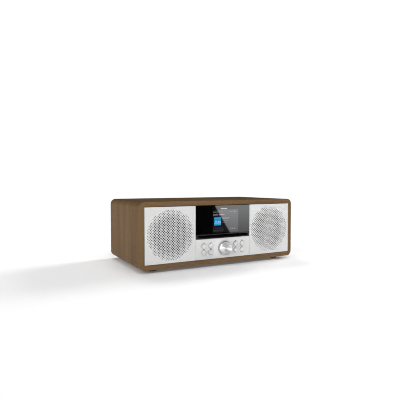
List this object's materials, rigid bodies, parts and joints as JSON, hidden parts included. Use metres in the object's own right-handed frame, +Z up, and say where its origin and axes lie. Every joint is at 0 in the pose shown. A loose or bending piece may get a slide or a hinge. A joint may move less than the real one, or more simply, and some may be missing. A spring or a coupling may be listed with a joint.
{
  "type": "tabletop radio",
  "caption": "Stereo tabletop radio in a walnut-veneered sleeve, with perforated grilles, a glossy display window, a disc slot, round push buttons and an aluminium push-and-turn knob.",
  "frame": {"origin": "on the floor, under the middle of the whole radio's bounding box", "axes": "+Z up, the front with the controls faces -Y, +X is to the right as seen from the front"},
  "size_m": [0.38, 0.22, 0.141],
  "materials": {
    "walnut_veneer": "satin open-grain veneer",
    "white_panel": "fine satin",
    "black_window": "polished",
    "black_plastic": "fine texture",
    "baffle_plastic": "moulded",
    "knob_aluminium": "spun face, satin side",
    "steel": "zinc plated",
    "aerial_chrome": "polished",
    "rubber": "matt",
    "circuit_board": "solder mask",
    "speaker_paper": "pressed paper",
    "felt": "short nap",
    "display": "polished"
  },
  "bodies": {
    "root": {"cabinet_sleeve": "walnut_veneer", "foot_front_left": "rubber", "foot_front_right": "rubber", "foot_rear_left": "rubber", "foot_rear_right": "rubber", "left_speaker_surround": "rubber", "right_speaker_surround": "rubber", "front_baffle": "baffle_plastic", "left_grille": "white_panel", "right_grille": "white_panel", "control_fascia": "white_panel", "slot_bezel": "black_plastic", "headphone_jack": "black_plastic", "aux_jack": "black_plastic", "power_inlet": "black_plastic", "rear_cover": "black_plastic", "aerial_base": "black_plastic", "slot_felt": "felt", "display_window": "black_window", "lcd_module": "display", "control_board": "circuit_board", "main_board": "circuit_board", "heatsink": "knob_aluminium", "encoder_body": "steel", "left_speaker_frame": "steel", "left_speaker_magnet": "steel", "right_speaker_frame": "steel", "right_speaker_magnet": "steel", "drive_chassis": "steel", "drive_lid": "steel", "spindle_motor": "steel", "pickup_rail_left": "steel", "pickup_rail_right": "steel", "screw_lower_left": "steel", "screw_lower_middle": "steel", "screw_lower_right": "steel", "screw_upper_left": "steel", "screw_upper_middle": "steel", "screw_upper_right": "steel"},
    "button_left_outer_lower": {"button_left_outer_lower": "white_panel"},
    "button_left_inner_lower": {"button_left_inner_lower": "white_panel"},
    "button_right_inner_lower": {"button_right_inner_lower": "white_panel"},
    "button_right_outer_lower": {"button_right_outer_lower": "white_panel"},
    "button_left_outer_upper": {"button_left_outer_upper": "white_panel"},
    "button_left_inner_upper": {"button_left_inner_upper": "white_panel"},
    "button_right_inner_upper": {"button_right_inner_upper": "white_panel"},
    "button_right_outer_upper": {"button_right_outer_upper": "white_panel"},
    "encoder_rotor": {"encoder_rotor": "black_plastic"},
    "tuning_knob": {"tuning_knob": "knob_aluminium", "encoder_shaft": "steel"},
    "left_cone": {"left_speaker_cone": "speaker_paper"},
    "right_cone": {"right_speaker_cone": "speaker_paper"},
    "feed_roller": {"feed_roller": "rubber"},
    "turntable": {"turntable": "black_plastic"},
    "optical_pickup": {"optical_pickup": "black_plastic"},
    "aerial_swivel": {"aerial_swivel": "black_plastic"},
    "aerial_section_1": {"aerial_section_1": "aerial_chrome"},
    "aerial_section_2": {"aerial_section_2": "aerial_chrome"},
    "aerial_section_3": {"aerial_section_3": "aerial_chrome"},
    "aerial_section_4": {"aerial_section_4": "aerial_chrome"}
  },
  "joints": [
    {"name": "button_left_outer_lower_press", "type": "slide", "parent": "root", "child": "button_left_outer_lower", "axis": [0, 1, 0], "range_m": [0, 0.0007], "stiffness_N_per_m": 1500},
    {"name": "button_left_inner_lower_press", "type": "slide", "parent": "root", "child": "button_left_inner_lower", "axis": [0, 1, 0], "range_m": [0, 0.0007], "stiffness_N_per_m": 1500},
    {"name": "button_right_inner_lower_press", "type": "slide", "parent": "root", "child": "button_right_inner_lower", "axis": [0, 1, 0], "range_m": [0, 0.0007], "stiffness_N_per_m": 1500},
    {"name": "button_right_outer_lower_press", "type": "slide", "parent": "root", "child": "button_right_outer_lower", "axis": [0, 1, 0], "range_m": [0, 0.0007], "stiffness_N_per_m": 1500},
    {"name": "button_left_outer_upper_press", "type": "slide", "parent": "root", "child": "button_left_outer_upper", "axis": [0, 1, 0], "range_m": [0, 0.0007], "stiffness_N_per_m": 1500},
    {"name": "button_left_inner_upper_press", "type": "slide", "parent": "root", "child": "button_left_inner_upper", "axis": [0, 1, 0], "range_m": [0, 0.0007], "stiffness_N_per_m": 1500},
    {"name": "button_right_inner_upper_press", "type": "slide", "parent": "root", "child": "button_right_inner_upper", "axis": [0, 1, 0], "range_m": [0, 0.0007], "stiffness_N_per_m": 1500},
    {"name": "button_right_outer_upper_press", "type": "slide", "parent": "root", "child": "button_right_outer_upper", "axis": [0, 1, 0], "range_m": [0, 0.0007], "stiffness_N_per_m": 1500},
    {"name": "knob_turn", "type": "hinge", "parent": "root", "child": "encoder_rotor", "pos_m": [0, -0.09, 0.0384], "axis": [0, 1, 0], "continuous": true},
    {"name": "knob_press", "type": "slide", "parent": "encoder_rotor", "child": "tuning_knob", "axis": [0, 1, 0], "range_m": [0, 0.0006], "stiffness_N_per_m": 4000},
    {"name": "left_cone_travel", "type": "slide", "parent": "root", "child": "left_cone", "axis": [0, -1, 0], "range_m": [-0.0015, 0.0015], "stiffness_N_per_m": 1200},
    {"name": "right_cone_travel", "type": "slide", "parent": "root", "child": "right_cone", "axis": [0, -1, 0], "range_m": [-0.0015, 0.0015], "stiffness_N_per_m": 1200},
    {"name": "feed_roller_spin", "type": "hinge", "parent": "root", "child": "feed_roller", "pos_m": [0, -0.07, 0.0576], "axis": [1, 0, 0], "continuous": true},
    {"name": "turntable_spin", "type": "hinge", "parent": "root", "child": "turntable", "pos_m": [0, 0.002, 0.061], "axis": [0, 0, 1], "continuous": true},
    {"name": "pickup_travel", "type": "slide", "parent": "root", "child": "optical_pickup", "axis": [0, 1, 0], "range_m": [0, 0.035]},
    {"name": "aerial_swivel_turn", "type": "hinge", "parent": "root", "child": "aerial_swivel", "pos_m": [0.088, 0.1065, 0.1215], "axis": [0, 1, 0], "range_deg": [0, 180]},
    {"name": "aerial_tilt", "type": "hinge", "parent": "aerial_swivel", "child": "aerial_section_1", "pos_m": [0.088, 0.1065, 0.1215], "axis": [0, 0, -1], "range_deg": [0, 90]},
    {"name": "aerial_extend_1", "type": "slide", "parent": "aerial_section_1", "child": "aerial_section_2", "axis": [-1, 0, 0], "range_m": [0, 0.13]},
    {"name": "aerial_extend_2", "type": "slide", "parent": "aerial_section_2", "child": "aerial_section_3", "axis": [-1, 0, 0], "range_m": [0, 0.13]},
    {"name": "aerial_extend_3", "type": "slide", "parent": "aerial_section_3", "child": "aerial_section_4", "axis": [-1, 0, 0], "range_m": [0, 0.13]}
  ]
}
